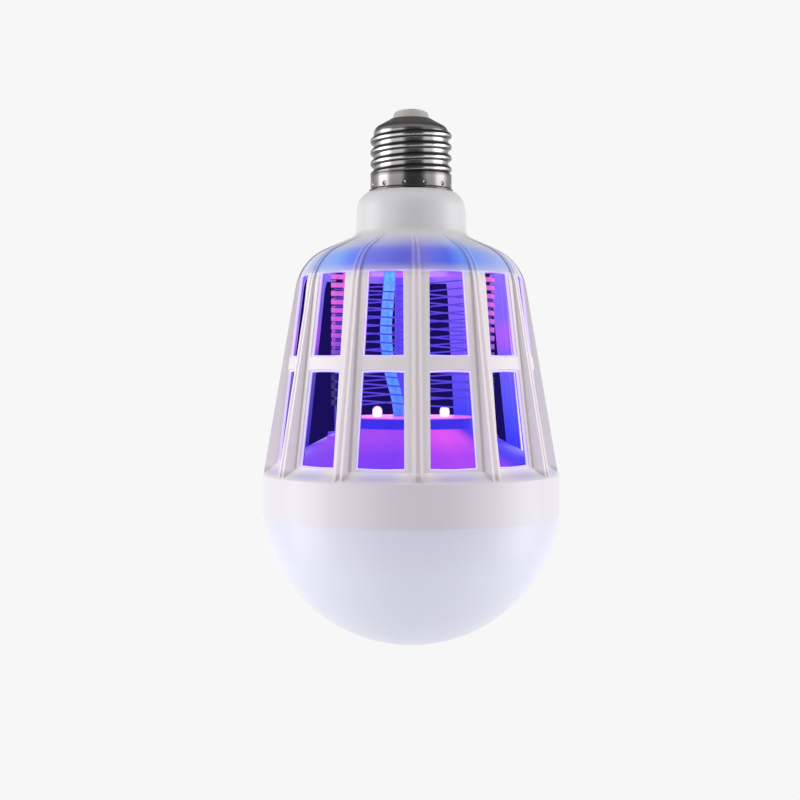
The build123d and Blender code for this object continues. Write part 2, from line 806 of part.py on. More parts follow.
with BuildPart() as boost_capacitors:
    with BuildSketch(Plane.YZ.offset(boost_first_x)):
        with Locations((boost_row_y, driver_top_z + boost_disc_r)):
            Circle(boost_disc_r)
    extrude(amount=boost_disc_thickness)
    boost_disc = boost_capacitors.part
    with Locations(*[(boost_pitch * i, 0, 0) for i in range(1, boost_stages)]):
        add(boost_disc)
finish(boost_capacitors, "boost_capacitors")

diode_line = [boost_first_x + diode_pitch * i for i in range(boost_stages)]
diode_places = [(x, diode_row_y, driver_top_z + diode_r) for x in diode_line]
with BuildPart() as boost_diodes:
    with Locations(*diode_places):
        Cylinder(diode_r, diode_length, rotation=(90, 0, 0))
finish(boost_diodes, "boost_diodes")

with BuildPart() as fuse_resistor:
    with Locations((fuse_place[0], fuse_place[1], driver_top_z + fuse_r)):
        Cylinder(fuse_r, fuse_length, rotation=(0, 90, 0))
    fillet(fuse_resistor.edges().filter_by(GeomType.CIRCLE), radius=fuse_round)
finish(fuse_resistor, "fuse_resistor")

with BuildPart() as uv_leads:
    with BuildSketch(Plane.XY.offset(driver_top_z)):
        with Locations(*uv_lead_places):
            Circle(core_r)
    extrude(amount=uv_board_under_z - driver_top_z)
finish(uv_leads, "uv_leads")

with BuildPart() as panel_leads:
    with BuildSketch(Plane.XY.offset(panel_z)):
        with Locations(*panel_lead_places):
            Circle(core_r)
    extrude(amount=driver_under_z - panel_z)
finish(panel_leads, "panel_leads")

# Plate with the white lamps that light the dome
with BuildPart() as led_panel:
    with BuildSketch(Plane.XY.offset(panel_z)):
        Circle(panel_r)
        with PolarLocations(boss_circle, len(boss_angles), boss_angles[0]):
            Circle(panel_screw_r + fit, mode=Mode.SUBTRACT)
    extrude(amount=-panel_thickness)
finish(led_panel, "led_panel")

panel_under_z = panel_z - panel_thickness
with BuildPart() as white_leds:
    with BuildSketch(Plane.XY.offset(panel_under_z)):
        for row_r, count in white_rows:
            with PolarLocations(row_r, count, 180 / count):
                Rectangle(white_size[0], white_size[1])
    extrude(amount=-white_size[2])
finish(white_leds, "white_leds")

# Screws: pan heads below what they hold, countersunk ones in the top plate
panel_screw_reach = panel_thickness + panel_screw_length - loose_fit
driver_screw_reach = driver_thickness + board_screw_length - loose_fit
uv_screw_reach = board_thickness + uv_screw_length - loose_fit
for name, head_z, circle, angles, radius, reach in (
    ("panel_screws", panel_under_z, boss_circle, boss_angles, panel_screw_r, panel_screw_reach),
    ("driver_screws", driver_under_z, pillar_circle, pillar_angles, board_screw_r, driver_screw_reach),
    ("uv_board_screws", uv_board_under_z, uv_peg_circle, uv_peg_angles, uv_screw_r, uv_screw_reach),
):
    with BuildPart() as screws:
        with BuildSketch(Plane.XY.offset(head_z)):
            with PolarLocations(circle, len(angles), angles[0]):
                Circle(radius * screw_head_ratio)
        extrude(amount=-radius)
        with BuildSketch(Plane.XY.offset(head_z)):
            with PolarLocations(circle, len(angles), angles[0]):
                Circle(radius)
        extrude(amount=reach)
    finish(screws, name)

with BuildPart() as plate_screws:
    with BuildSketch(Plane.XY.offset(plate_under_z)):
        with PolarLocations(plate_screw_circle, plate_screws_count):
            Circle(countersink_r)
    extrude(amount=countersink_r - screw_r, taper=45)
    with BuildSketch(Plane.XY.offset(plate_under_z)):
        with PolarLocations(plate_screw_circle, plate_screws_count):
            Circle(screw_r)
    extrude(amount=plate_thickness + plate_screw_length - loose_fit)
finish(plate_screws, "plate_screws")

# Diffuser dome
collar_r = ring_bore_r - 2 * fit
dome_bore_r = dome_r - dome_wall
dome_turn_z = ring_foot_z - dome_wall


def dome_point(radius, z):
    return (sqrt(radius**2 - (z - dome_centre_z) ** 2), z)


with BuildPart() as diffuser_dome:
    with BuildSketch(Plane.XZ):
        with BuildLine():
            rim = dome_point(dome_r, ring_foot_z)
            turn = dome_point(dome_bore_r, dome_turn_z)
            tip = (0, dome_centre_z - dome_r)
            hollow = (0, dome_centre_z - dome_bore_r)
            snap = collar_r + snap_depth
            RadiusArc(rim, tip, dome_r)
            Line(tip, hollow)
            RadiusArc(hollow, turn, -dome_bore_r)
            Polyline(
                turn,
                (collar_r - collar_wall, ring_foot_z + collar_wall),
                (collar_r - collar_wall, ledge_under_z - flange_thickness),
                (collar_r, ledge_under_z - flange_thickness),
                (collar_r, snap_z + snap_height / 2 + fit),
                (snap, snap_z + snap_height / 4),
                (snap, snap_z - snap_height / 4),
                (collar_r, snap_z - snap_height / 2 - fit),
                (collar_r, ring_foot_z),
                rim,
            )
        make_face()
    revolve(axis=Axis.Z)
finish(diffuser_dome, "diffuser_dome")
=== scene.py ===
"""Dresses the insect killer bulb: its finishes, the violet light in the cage, the studio and the camera."""

import math

import bpy
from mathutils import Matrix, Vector


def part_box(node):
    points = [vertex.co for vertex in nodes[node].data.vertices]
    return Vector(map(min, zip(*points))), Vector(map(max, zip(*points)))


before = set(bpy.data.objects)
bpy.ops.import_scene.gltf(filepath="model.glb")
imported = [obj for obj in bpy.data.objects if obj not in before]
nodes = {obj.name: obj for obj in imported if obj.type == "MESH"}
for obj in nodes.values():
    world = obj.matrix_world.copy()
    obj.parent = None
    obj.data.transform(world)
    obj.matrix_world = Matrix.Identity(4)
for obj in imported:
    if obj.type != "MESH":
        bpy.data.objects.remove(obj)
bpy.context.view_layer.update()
bpy.ops.object.select_all(action="DESELECT")

# Sizes that the pieces' boxes give, in metres; the front faces minus y, and comb_post_2 stands at the back


def foot_and_top(name):
    """The lowest and the highest point of a piece."""
    low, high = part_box(name)
    return low.z, high.z


cap_foot_z, cap_top_z = foot_and_top("cap_shell")
window_foot_z, window_top_z = foot_and_top("cage_bars")
comb_foot_z, comb_top_z = foot_and_top("comb_post_2")
comb_tooth_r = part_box("comb_post_2")[1].y
platform_top_z = foot_and_top("base_tray")[1]
dome_foot_z, dome_top_z = foot_and_top("diffuser_dome")

# Sizes that no box gives, as the CAD model has them

mm = 0.001
degree = math.radians(1.0)
bars = 12
bar_turn = math.tau / bars
neck_foot_z = -14.3 * mm
wall_foot_z = -88.3 * mm
wall_foot_r = 43.9 * mm
wall_slope = math.tan(7 * degree)
ledge_foot_z = -91.1 * mm
platform_r = 21.0 * mm
tray_rim_r = 41.8 * mm

posts = 6
first_post_bearing = 120 * degree
strands = 4
wire_spacing = 2.65 * mm
wire_top_z = -27.0 * mm
wire_drop = wire_spacing * strands / posts

thread_pitch = 3.629 * mm
thread_start_z = 1.61 * mm

# Depth of the relief on moulded and coated pieces

skin_depth = 0.02 * mm


def paint(red, green, blue):
    """A colour as a picture shows it, 0 to 255, as the linear colour that a shader takes."""
    linear = [
        c / 12.92 if c <= 0.04045 else ((c + 0.055) / 1.055) ** 2.4
        for c in (red / 255, green / 255, blue / 255)
    ]
    return (*linear, 1.0)


def grey(level):
    return paint(level, level, level)


black = grey(0)
violet = paint(128, 84, 250)
magenta = paint(226, 90, 250)
pink = paint(235, 105, 235)
shade_navy = paint(25, 15, 90)

# Small builders for shader trees


def add(tree, kind, **settings):
    """A new node of that kind with these settings."""
    node = tree.nodes.new("ShaderNode" + kind)
    for name, value in settings.items():
        setattr(node, name, value)
    return node


def feed(tree, socket, value):
    """Links another node's output to the socket, or sets the socket's own number or colour."""
    if isinstance(value, bpy.types.NodeSocket):
        tree.links.new(value, socket)
    else:
        socket.default_value = value


def maths(tree, operation, *values):
    """The result of a Math node on these values."""
    node = add(tree, "Math", operation=operation)
    for socket, value in zip(node.inputs, values):
        feed(tree, socket, value)
    return node.outputs[0]


def product(tree, first, *others):
    """All these masks or numbers multiplied with each other."""
    for other in others:
        first = maths(tree, "MULTIPLY", first, other)
    return first


def fade(tree, value, start, end):
    """A mask that goes smoothly from 0 at start to 1 at end."""
    node = add(tree, "MapRange", interpolation_type="SMOOTHSTEP")
    feed(tree, node.inputs["Value"], value)
    node.inputs["From Min"].default_value = start
    node.inputs["From Max"].default_value = end
    return node.outputs["Result"]


def band(tree, value, rise, fall):
    """A mask that rises to 1 over the first pair of values and falls back to 0 over the second."""
    return product(tree, fade(tree, value, *rise), fade(tree, value, fall[1], fall[0]))


def blend(tree, share, first, second, way="MIX"):
    """The first colour, going over to the second one as share rises."""
    node = add(tree, "Mix", data_type="RGBA", blend_type=way)
    feed(tree, node.inputs["Factor"], share)
    feed(tree, node.inputs[6], first)
    feed(tree, node.inputs[7], second)
    return node.outputs[2]


def colours_along(tree, value, start, end, stops):
    """Colours that follow a value from start to end; each stop is its share of the way and its colour."""
    way = add(tree, "MapRange")
    feed(tree, way.inputs["Value"], value)
    way.inputs["From Min"].default_value = start
    way.inputs["From Max"].default_value = end
    ramp = add(tree, "ValToRGB")
    tree.links.new(way.outputs["Result"], ramp.inputs["Fac"])
    elements = ramp.color_ramp.elements
    while len(elements) < len(stops):
        elements.new(0.5)
    for element, (share, colour) in zip(elements, stops):
        element.position = share
        element.color = colour
    return ramp.outputs["Color"]


def colours_round(tree, bearing, stops):
    """Colours round the axis; each stop is a bearing from the front in degrees, and its colour."""
    shares = [((degrees + 180) / 360, colour) for degrees, colour in stops]
    return colours_along(tree, bearing, -math.pi, math.pi, shares)


def noise(tree, position, scale, detail=2.0, stretch=(1, 1, 1)):
    """Soft noise from 0 to 1 with this many features to the metre."""
    mapping = add(tree, "Mapping")
    mapping.inputs["Scale"].default_value = stretch
    feed(tree, mapping.inputs["Vector"], position)
    node = add(tree, "TexNoise")
    feed(tree, node.inputs["Scale"], scale)
    node.inputs["Detail"].default_value = detail
    tree.links.new(mapping.outputs["Vector"], node.inputs["Vector"])
    return node.outputs[0]


def relief(tree, height, distance, strength=1.0):
    """The normal of a surface with this relief, with its depth in metres."""
    bump = add(tree, "Bump")
    bump.inputs["Distance"].default_value = distance
    bump.inputs["Strength"].default_value = strength
    tree.links.new(height, bump.inputs["Height"])
    return bump.outputs["Normal"]


def outline(tree):
    """0 where the surface faces the eye, rising to 1 at its outline."""
    weight = add(tree, "LayerWeight")
    weight.inputs["Blend"].default_value = 0.5
    return weight.outputs["Facing"]


def new_group(name, inputs, outputs):
    """An empty shader group; an input is its name, kind and value, and an output its name and kind."""
    group = bpy.data.node_groups.new(name, "ShaderNodeTree")
    for label, kind, value in inputs:
        socket = group.interface.new_socket(label, in_out="INPUT", socket_type="NodeSocket" + kind)
        if value is not None:
            socket.default_value = value
    for label, kind in outputs:
        group.interface.new_socket(label, in_out="OUTPUT", socket_type="NodeSocket" + kind)
    ends = group.nodes.new("NodeGroupInput"), group.nodes.new("NodeGroupOutput")
    return group, ends[0].outputs, ends[1].inputs


def use(tree, group, **values):
    """Places a group in a material; an underscore in a name stands for a space."""
    node = add(tree, "Group", node_tree=group)
    for name, value in values.items():
        feed(tree, node.inputs[name.replace("_", " ")], value)
    return node.outputs


# Shader groups that several finishes share


def build_lamp_place():
    """Where a point is on the lamp: its distance from the axis, its height and its bearing from the front."""
    tree, given, put = new_group(
        "lamp_place",
        [("Position", "Vector", None)],
        [("Radius", "Float"), ("Height", "Float"), ("Bearing", "Float")],
    )
    parts = add(tree, "SeparateXYZ")
    tree.links.new(given["Position"], parts.inputs[0])
    across, deep, up = parts.outputs
    squares = maths(tree, "ADD", product(tree, across, across), product(tree, deep, deep))
    feed(tree, put["Radius"], maths(tree, "SQRT", squares))
    feed(tree, put["Height"], up)
    feed(tree, put["Bearing"], maths(tree, "ARCTAN2", across, product(tree, deep, -1.0)))
    return tree


def build_moulded_skin():
    """Injection moulded plastic: a faint cloudiness, flow lines and a fine spark-eroded grain."""
    tree, given, put = new_group(
        "moulded_skin",
        [("Position", "Vector", None), ("Grain", "Float", 2400.0), ("Gloss", "Float", 0.35)],
        [("Tone", "Float"), ("Roughness", "Float"), ("Height", "Float")],
    )
    cloud = noise(tree, given["Position"], 45.0, 3.0)
    flow = noise(tree, given["Position"], 160.0, 2.0, (1, 1, 0.15))
    grain = noise(tree, given["Position"], given["Grain"], 3.0)
    shade = maths(tree, "ADD", product(tree, cloud, 0.035), product(tree, flow, 0.02))
    feed(tree, put["Tone"], maths(tree, "ADD", shade, 0.965))
    spread = product(tree, maths(tree, "SUBTRACT", cloud, 0.5), 0.12)
    feed(tree, put["Roughness"], maths(tree, "ADD", spread, given["Gloss"]))
    feed(tree, put["Height"], grain)
    return tree


def build_handled_metal():
    """Bare or plated metal: fine turning lines round the axis, short scuffs and cloudy smudges."""
    tree, given, put = new_group(
        "handled_metal",
        [("Position", "Vector", None), ("Gloss", "Float", 0.2), ("Wear", "Float", 0.5)],
        [("Tone", "Float"), ("Roughness", "Float"), ("Height", "Float")],
    )
    lines = noise(tree, given["Position"], 400.0, 3.0, (0.04, 0.04, 12))
    smudge = noise(tree, given["Position"], 130.0, 4.0)
    scuffs = noise(tree, given["Position"], 900.0, 6.0, (1, 1, 0.3))
    marks = product(tree, fade(tree, scuffs, 0.58, 0.72), given["Wear"])
    rough = maths(tree, "ADD", product(tree, smudge, 0.14), product(tree, marks, 0.25))
    feed(tree, put["Roughness"], maths(tree, "ADD", rough, given["Gloss"]))
    dull = maths(tree, "ADD", product(tree, marks, 0.12), product(tree, smudge, 0.1))
    feed(tree, put["Tone"], maths(tree, "SUBTRACT", 1.05, dull))
    feed(tree, put["Height"], maths(tree, "ADD", lines, product(tree, marks, -0.5)))
    return tree


def build_varnish():
    """Dipped or cast coats on small parts: soft runs and tiny pores."""
    tree, given, put = new_group(
        "varnish",
        [("Position", "Vector", None), ("Pores", "Float", 0.4), ("Gloss", "Float", 0.3)],
        [("Tone", "Float"), ("Roughness", "Float"), ("Height", "Float")],
    )
    runs = noise(tree, given["Position"], 250.0, 2.0, (1, 1, 0.4))
    cells = add(tree, "TexVoronoi")
    cells.inputs["Scale"].default_value = 1800.0
    tree.links.new(given["Position"], cells.inputs["Vector"])
    pores = product(tree, fade(tree, cells.outputs["Distance"], 0.25, 0.05), given["Pores"])
    dull = maths(tree, "ADD", pores, product(tree, runs, 0.12))
    feed(tree, put["Tone"], maths(tree, "SUBTRACT", 1.05, dull))
    feed(tree, put["Roughness"], maths(tree, "ADD", given["Gloss"], product(tree, runs, 0.15)))
    feed(tree, put["Height"], maths(tree, "SUBTRACT", runs, pores))
    return tree


def build_board_face():
    """A printed board's face: glass weave under the mask and copper tracks that show through it."""
    tree, given, put = new_group(
        "board_face",
        [
            ("Position", "Vector", None),
            ("Mask Colour", "Color", paint(18, 96, 52)),
            ("Track Colour", "Color", paint(30, 128, 70)),
        ],
        [("Color", "Color"), ("Height", "Float")],
    )
    weave = add(tree, "TexChecker")
    weave.inputs["Scale"].default_value = 2200.0
    tree.links.new(given["Position"], weave.inputs["Vector"])
    tracks = add(tree, "TexBrick", offset=0.5)
    tracks.inputs["Scale"].default_value = 180.0
    tracks.inputs["Mortar Size"].default_value = 0.05
    tree.links.new(given["Position"], tracks.inputs["Vector"])
    shown = maths(tree, "SUBTRACT", 1.0, tracks.outputs["Fac"])
    mask = blend(tree, shown, given["Mask Colour"], given["Track Colour"])
    feed(tree, put["Color"], blend(tree, product(tree, weave.outputs["Fac"], 0.06), mask, black))
    feed(tree, put["Height"], maths(tree, "ADD", shown, product(tree, weave.outputs["Fac"], 0.1)))
    return tree


lamp_place = build_lamp_place()
moulded_skin = build_moulded_skin()
handled_metal = build_handled_metal()
varnish = build_varnish()
board_face = build_board_face()

# Finishes


class Finish:
    """A new material: its tree, its shader and where a point is on the piece."""

    def __init__(self, name, **values):
        self.material = bpy.data.materials.new(name)
        self.material.use_nodes = True
        self.tree = self.material.node_tree
        self.shader = self.tree.nodes["Principled BSDF"]
        self.position = add(self.tree, "TexCoord").outputs["Object"]
        for label, value in values.items():
            self.shader.inputs[label.replace("_", " ")].default_value = value

    def place(self):
        """The radius, height and bearing of a point on the lamp."""
        return use(self.tree, lamp_place, Position=self.position)

    def wear(self, group, distance, **values):
        """Takes roughness and a relief of this depth from a group, and returns its tone."""
        got = use(self.tree, group, Position=self.position, **values)
        self.tree.links.new(got["Roughness"], self.shader.inputs["Roughness"])
        normal = relief(self.tree, got["Height"], distance, 0.5)
        self.tree.links.new(normal, self.shader.inputs["Normal"])
        return got["Tone"]

    def colour(self, colour, tone):
        """The piece's own colour, made lighter and darker by the tone."""
        shade = add(self.tree, "CombineColor")
        for channel in shade.inputs:
            self.tree.links.new(tone, channel)
        shaded = blend(self.tree, 1.0, colour, shade.outputs[0], "MULTIPLY")
        self.tree.links.new(shaded, self.shader.inputs["Base Color"])

    def glow(self, colour, strength):
        feed(self.tree, self.shader.inputs["Emission Color"], colour)
        self.shader.inputs["Emission Strength"].default_value = strength

    def on(self, *names):
        for name in names:
            nodes[name].data.materials.clear()
            nodes[name].data.materials.append(self.material)


# White moulding: lit violet inside the cage and shining blue through its shoulder


def painted_shoulder_light(tree, bearing):
    """Painted light and shade: the blue that shines through the shoulder, as it changes round the lamp."""
    indigo = paint(90, 94, 222)
    sky = paint(124, 160, 244)
    return colours_round(
        tree,
        bearing,
        [
            (-180, indigo),
            (-150, sky),
            (-120, indigo),
            (-90, sky),
            (-62, paint(134, 162, 228)),
            (-46, paint(116, 156, 236)),
            (-36, paint(84, 118, 238)),
            (-26, paint(96, 104, 226)),
            (-6, paint(54, 64, 212)),
            (4, paint(98, 92, 214)),
            (9, paint(72, 84, 224)),
            (17, paint(34, 74, 230)),
            (25, paint(78, 136, 242)),
            (42, paint(130, 154, 230)),
            (60, paint(164, 178, 230)),
            (90, sky),
            (120, indigo),
            (150, sky),
            (180, indigo),
        ],
    )


def painted_wall_light(tree, height, bearing, from_front):
    """Painted lamp light on the inside of the wall: blue below and violet above, dim at the left, with a
    magenta belt.
    """
    plain_wall = colours_along(
        tree,
        height,
        window_foot_z,
        window_top_z,
        [
            (0.0, paint(48, 54, 240)),
            (0.25, paint(64, 70, 240)),
            (0.55, paint(112, 88, 240)),
            (1.0, paint(142, 104, 238)),
        ],
    )
    left_wall = colours_along(
        tree,
        height,
        window_foot_z,
        window_top_z,
        [
            (0.0, paint(48, 36, 112)),
            (0.35, paint(46, 38, 116)),
            (0.65, paint(86, 64, 186)),
            (1.0, paint(124, 104, 216)),
        ],
    )
    at_back = fade(tree, from_front, 160 * degree, 170 * degree)
    at_left = band(tree, bearing, (-142 * degree, -132 * degree), (-50 * degree, -38 * degree))
    off_back = fade(tree, from_front, 135 * degree, 122 * degree)
    belt_z = -46.5 * mm
    off_belt = maths(tree, "ABSOLUTE", maths(tree, "SUBTRACT", height, belt_z))
    near_belt = fade(tree, off_belt, 8 * mm, 1 * mm)
    wall = blend(tree, product(tree, at_back, 0.75), plain_wall, paint(76, 62, 230))
    wall = blend(tree, product(tree, at_left, 0.85), wall, left_wall)
    return blend(tree, product(tree, near_belt, off_back, 0.5), wall, paint(214, 88, 232))


def fin_shadows(tree, height, bearing, from_bar, from_front):
    """The dark lines beside the fins, on the side to the front, and fainter beside the front pair."""
    to_front = product(tree, from_bar, product(tree, maths(tree, "SIGN", bearing), -1.0))
    side_lines = band(tree, to_front, (1.8 * degree, 2.2 * degree), (2.7 * degree, 3.7 * degree))
    side_lines = product(tree, side_lines, fade(tree, from_front, 12 * degree, 24 * degree))
    front_lines = band(tree, from_front, (2.0 * degree, 2.4 * degree), (3.0 * degree, 4.6 * degree))
    lines = maths(tree, "MAXIMUM", side_lines, product(tree, front_lines, 0.3))
    under_neck = fade(tree, height, neck_foot_z - 2 * mm, neck_foot_z - 9 * mm)
    over_ledge = fade(tree, height, ledge_foot_z, window_foot_z)
    return product(tree, lines, under_neck, over_ledge)


def ledge_lights(tree, height, bearing):
    """The pale violet that falls on the sloping ledge under each window."""
    on_ledge = band(
        tree,
        height,
        (ledge_foot_z - 0.4 * mm, ledge_foot_z + 0.8 * mm),
        (window_foot_z - 1.4 * mm, window_foot_z - 0.2 * mm),
    )
    from_window = maths(tree, "SUBTRACT", bearing, bar_turn / 2)
    window_wave = maths(tree, "COSINE", product(tree, from_window, float(bars)))
    return product(tree, on_ledge, fade(tree, window_wave, -0.6, 0.8))


def cage_masks(tree, height, depth):
    """Where the moulding stands in the violet light: its inside, the windows' reveals and the bars' faces."""
    foot = (window_foot_z - 3 * mm, window_foot_z - 1 * mm)
    beside_windows = band(tree, height, foot, (window_top_z, window_top_z + 0.8 * mm))
    up_to_roof = band(tree, height, foot, (window_top_z + 2.4 * mm, window_top_z + 3 * mm))
    inside = maths(
        tree,
        "MAXIMUM",
        product(tree, beside_windows, fade(tree, depth, 1.0 * mm, 1.5 * mm)),
        product(tree, up_to_roof, fade(tree, depth, 1.6 * mm, 2.0 * mm)),
    )
    reveals = product(tree, beside_windows, fade(tree, depth, 0.2 * mm, 0.6 * mm))
    bar_faces = product(tree, beside_windows, fade(tree, depth, 0.6 * mm, -0.4 * mm))
    return inside, reveals, bar_faces


def shoulder_glow(tree, height, depth, from_bar):
    """How much of the blue shines through the shoulder, with less over the bars and at the outline."""
    over_bar = fade(tree, maths(tree, "ABSOLUTE", from_bar), 3.0 * degree, 2.0 * degree)
    return product(
        tree,
        fade(tree, height, neck_foot_z + 1.0 * mm, neck_foot_z - 8.2 * mm),
        fade(tree, height, window_top_z - 1.6 * mm, window_top_z + 3.4 * mm),
        fade(tree, depth, -0.5 * mm, 0.3 * mm),
        fade(tree, outline(tree), 0.93, 0.6),
        maths(tree, "MULTIPLY_ADD", over_bar, -0.22, 1.0),
    )


def dress_housing():
    housing = Finish("white_moulding", IOR=1.5)
    tree = housing.tree
    tone = housing.wear(moulded_skin, skin_depth)
    radius, height, bearing = housing.place()
    from_front = maths(tree, "ABSOLUTE", bearing)
    turned = maths(tree, "MODULO", maths(tree, "ADD", bearing, math.tau + bar_turn / 2), bar_turn)
    from_bar = maths(tree, "SUBTRACT", turned, bar_turn / 2)
    outer_r = maths(tree, "MULTIPLY_ADD", height, -wall_slope, wall_foot_r + wall_foot_z * wall_slope)
    depth = maths(tree, "SUBTRACT", outer_r, radius)
    inside, reveals, bar_faces = cage_masks(tree, height, depth)
    shoulder = shoulder_glow(tree, height, depth, from_bar)
    shoulder_shine = painted_shoulder_light(tree, bearing)

    on_neck = fade(tree, height, neck_foot_z - 4 * mm, neck_foot_z)
    on_ring = fade(tree, height, ledge_foot_z + 1 * mm, ledge_foot_z - 1 * mm)
    base = blend(tree, on_neck, paint(226, 221, 222), paint(226, 225, 223))
    base = blend(tree, on_ring, base, paint(234, 231, 236))
    # Painted shade and light: inside the cage the white moulding takes a dark violet base colour.
    base = blend(tree, inside, base, paint(60, 40, 150))
    # Painted light: the shoulder's base colour goes over to the blue that shines through it.
    base = blend(tree, product(tree, shoulder, 0.9), base, shoulder_shine)
    shadows = fin_shadows(tree, height, bearing, from_bar, from_front)
    base = blend(tree, product(tree, shadows, 0.55), base, paint(120, 112, 122))
    ledge = ledge_lights(tree, height, bearing)
    base = blend(tree, product(tree, ledge, 0.32), base, paint(176, 166, 250))
    housing.colour(base, tone)

    light = blend(tree, product(tree, shoulder, 0.3), black, shoulder_shine)
    light = blend(tree, product(tree, bar_faces, 0.42), light, paint(190, 180, 186))
    light = blend(tree, reveals, light, paint(182, 160, 236))
    light = blend(tree, inside, light, painted_wall_light(tree, height, bearing, from_front))
    housing.glow(light, 0.8)
    housing.on("upper_housing", "cage_bars", "cross_bars", "base_ring")


# Grid and tray, which stand in the violet light


def dress_tray():
    """Painted lamp light on the tray: a floor from violet to magenta round the axis, and a platform pink on
    top and blue at its side.
    """
    tray = Finish("tray_moulding", Specular_IOR_Level=0.05)
    tree = tray.tree
    tone = tray.wear(moulded_skin, skin_depth, Gloss=0.28)
    radius, height, bearing = tray.place()
    near_platform = colours_round(
        tree,
        bearing,
        [
            (-180, violet),
            (-90, paint(112, 66, 240)),
            (-60, paint(162, 80, 242)),
            (-28, paint(170, 78, 248)),
            (-10, paint(162, 74, 250)),
            (8, paint(214, 82, 250)),
            (20, paint(230, 88, 248)),
            (34, paint(214, 86, 252)),
            (48, paint(92, 56, 240)),
            (90, paint(66, 50, 240)),
            (180, violet),
        ],
    )
    to_rim = fade(tree, radius, platform_r + 3 * mm, tray_rim_r - 3 * mm)
    floor = blend(tree, product(tree, to_rim, 0.45), near_platform, paint(58, 50, 248))
    on_top = fade(tree, height, platform_top_z - 0.5 * mm, platform_top_z - 0.1 * mm)
    platform = blend(tree, on_top, paint(60, 48, 238), pink)
    on_floor = fade(tree, radius, platform_r + 0.2 * mm, platform_r + 0.5 * mm)
    light = blend(tree, on_floor, platform, floor)
    unlit_z = -92.0 * mm
    lit_z = -88.0 * mm
    light = blend(tree, fade(tree, height, unlit_z, lit_z), black, light)
    # Painted shade: the white moulding takes a near black base, and the painted lamp light gives its colour.
    tray.colour(paint(28, 18, 60), tone)
    tray.glow(light, 0.92)
    tray.on("base_tray")


def dress_ceiling():
    """The plate over the grid in painted lamp light, with a cyan light round the lead."""
    ceiling = Finish("ceiling_moulding", Specular_IOR_Level=0.12)
    tree = ceiling.tree
    tone = ceiling.wear(moulded_skin, skin_depth, Gloss=0.3)
    bearing = ceiling.place()["Bearing"]
    light = colours_round(
        tree,
        bearing,
        [
            (-180, magenta),
            (-100, violet),
            (-34, violet),
            (-27, pink),
            (-19, magenta),
            (-15, paint(76, 180, 232)),
            (-7, paint(112, 200, 240)),
            (4, pink),
            (23, magenta),
            (31, paint(130, 150, 250)),
            (40, magenta),
            (100, violet),
            (180, magenta),
        ],
    )
    # Painted shade: the white moulding takes a dark base, and the painted lamp light gives its colour.
    ceiling.colour(paint(40, 24, 76), tone)
    ceiling.glow(light, 0.8)
    ceiling.on("grid_top_plate")


def dress_combs():
    """The posts in painted lamp light: pink at the top and dark at the foot, with painted shade in the
    notches, which climb as the wires do.
    """
    comb = Finish("comb_moulding", Specular_IOR_Level=0.12)
    tree = comb.tree
    tone = comb.wear(moulded_skin, skin_depth, Gloss=0.3)
    radius, height, bearing = comb.place()
    light = colours_along(
        tree,
        height,
        comb_foot_z,
        comb_top_z,
        [
            (0.0, paint(26, 20, 96)),
            (0.38, paint(30, 24, 110)),
            (0.5, paint(130, 74, 214)),
            (0.62, paint(204, 96, 242)),
            (1.0, paint(255, 116, 236)),
        ],
    )
    post_turn = math.tau / posts
    from_first = maths(tree, "SUBTRACT", bearing, first_post_bearing)
    drop = product(tree, from_first, wire_drop / post_turn)
    under_top = maths(tree, "ADD", maths(tree, "SUBTRACT", height, wire_top_z), drop)
    notch_wave = maths(tree, "COSINE", product(tree, under_top, math.tau / wire_spacing))
    notch_shade = fade(tree, notch_wave, -0.1, 0.5)
    at_teeth = fade(tree, radius, comb_tooth_r - 3.4 * mm, comb_tooth_r - 2.4 * mm)
    # Painted shade in the notches where the wires pass.
    light = blend(tree, product(tree, notch_shade, at_teeth), light, paint(26, 14, 84))
    # Painted shade: a dark base, and the painted lamp light gives the posts their colour.
    comb.colour(paint(24, 14, 48), tone)
    comb.glow(light, 0.85)
    comb.on(*[f"comb_post_{number}" for number in range(1, posts + 1)])


def dress_wires():
    wire = Finish("grid_wire", Metallic=0.6)
    tone = wire.wear(handled_metal, 0.004 * mm, Gloss=0.5)
    # Painted lamp light and shade: the metal wires take a dark violet base and a violet glow.
    wire.colour(paint(44, 36, 96), tone)
    wire.glow(paint(92, 70, 236), 0.8)
    wire.on("live_wire_1", "live_wire_2", "return_wire_1", "return_wire_2")


def dress_sleeve():
    """The braided sleeve round the lead in painted lamp light: pale blue, turning cyan at the top, with
    painted shade at its outline.
    """
    sleeve = Finish("lead_sleeve")
    tree = sleeve.tree
    tone = sleeve.wear(varnish, 0.04 * mm, Gloss=0.35)
    height = sleeve.place()["Height"]
    blue_z = -77.0 * mm
    cyan_z = -24.0 * mm
    light = colours_along(
        tree,
        height,
        blue_z,
        cyan_z,
        [
            (0.0, paint(60, 96, 238)),
            (0.25, paint(72, 150, 246)),
            (0.55, paint(82, 154, 246)),
            (0.85, paint(104, 182, 244)),
            (1.0, paint(98, 198, 230)),
        ],
    )
    braid = fade(tree, noise(tree, sleeve.position, 900.0, 1.0), 0.4, 0.62)
    light = blend(tree, product(tree, braid, 0.4), light, paint(50, 84, 220))
    light = blend(tree, fade(tree, outline(tree), 0.3, 0.9), light, paint(36, 62, 214))
    # Painted lamp light: a blue base colour on the pale sleeve.
    sleeve.colour(paint(70, 110, 190), tone)
    sleeve.glow(light, 0.85)
    sleeve.on("lead_sleeve")


# Lamps and dome


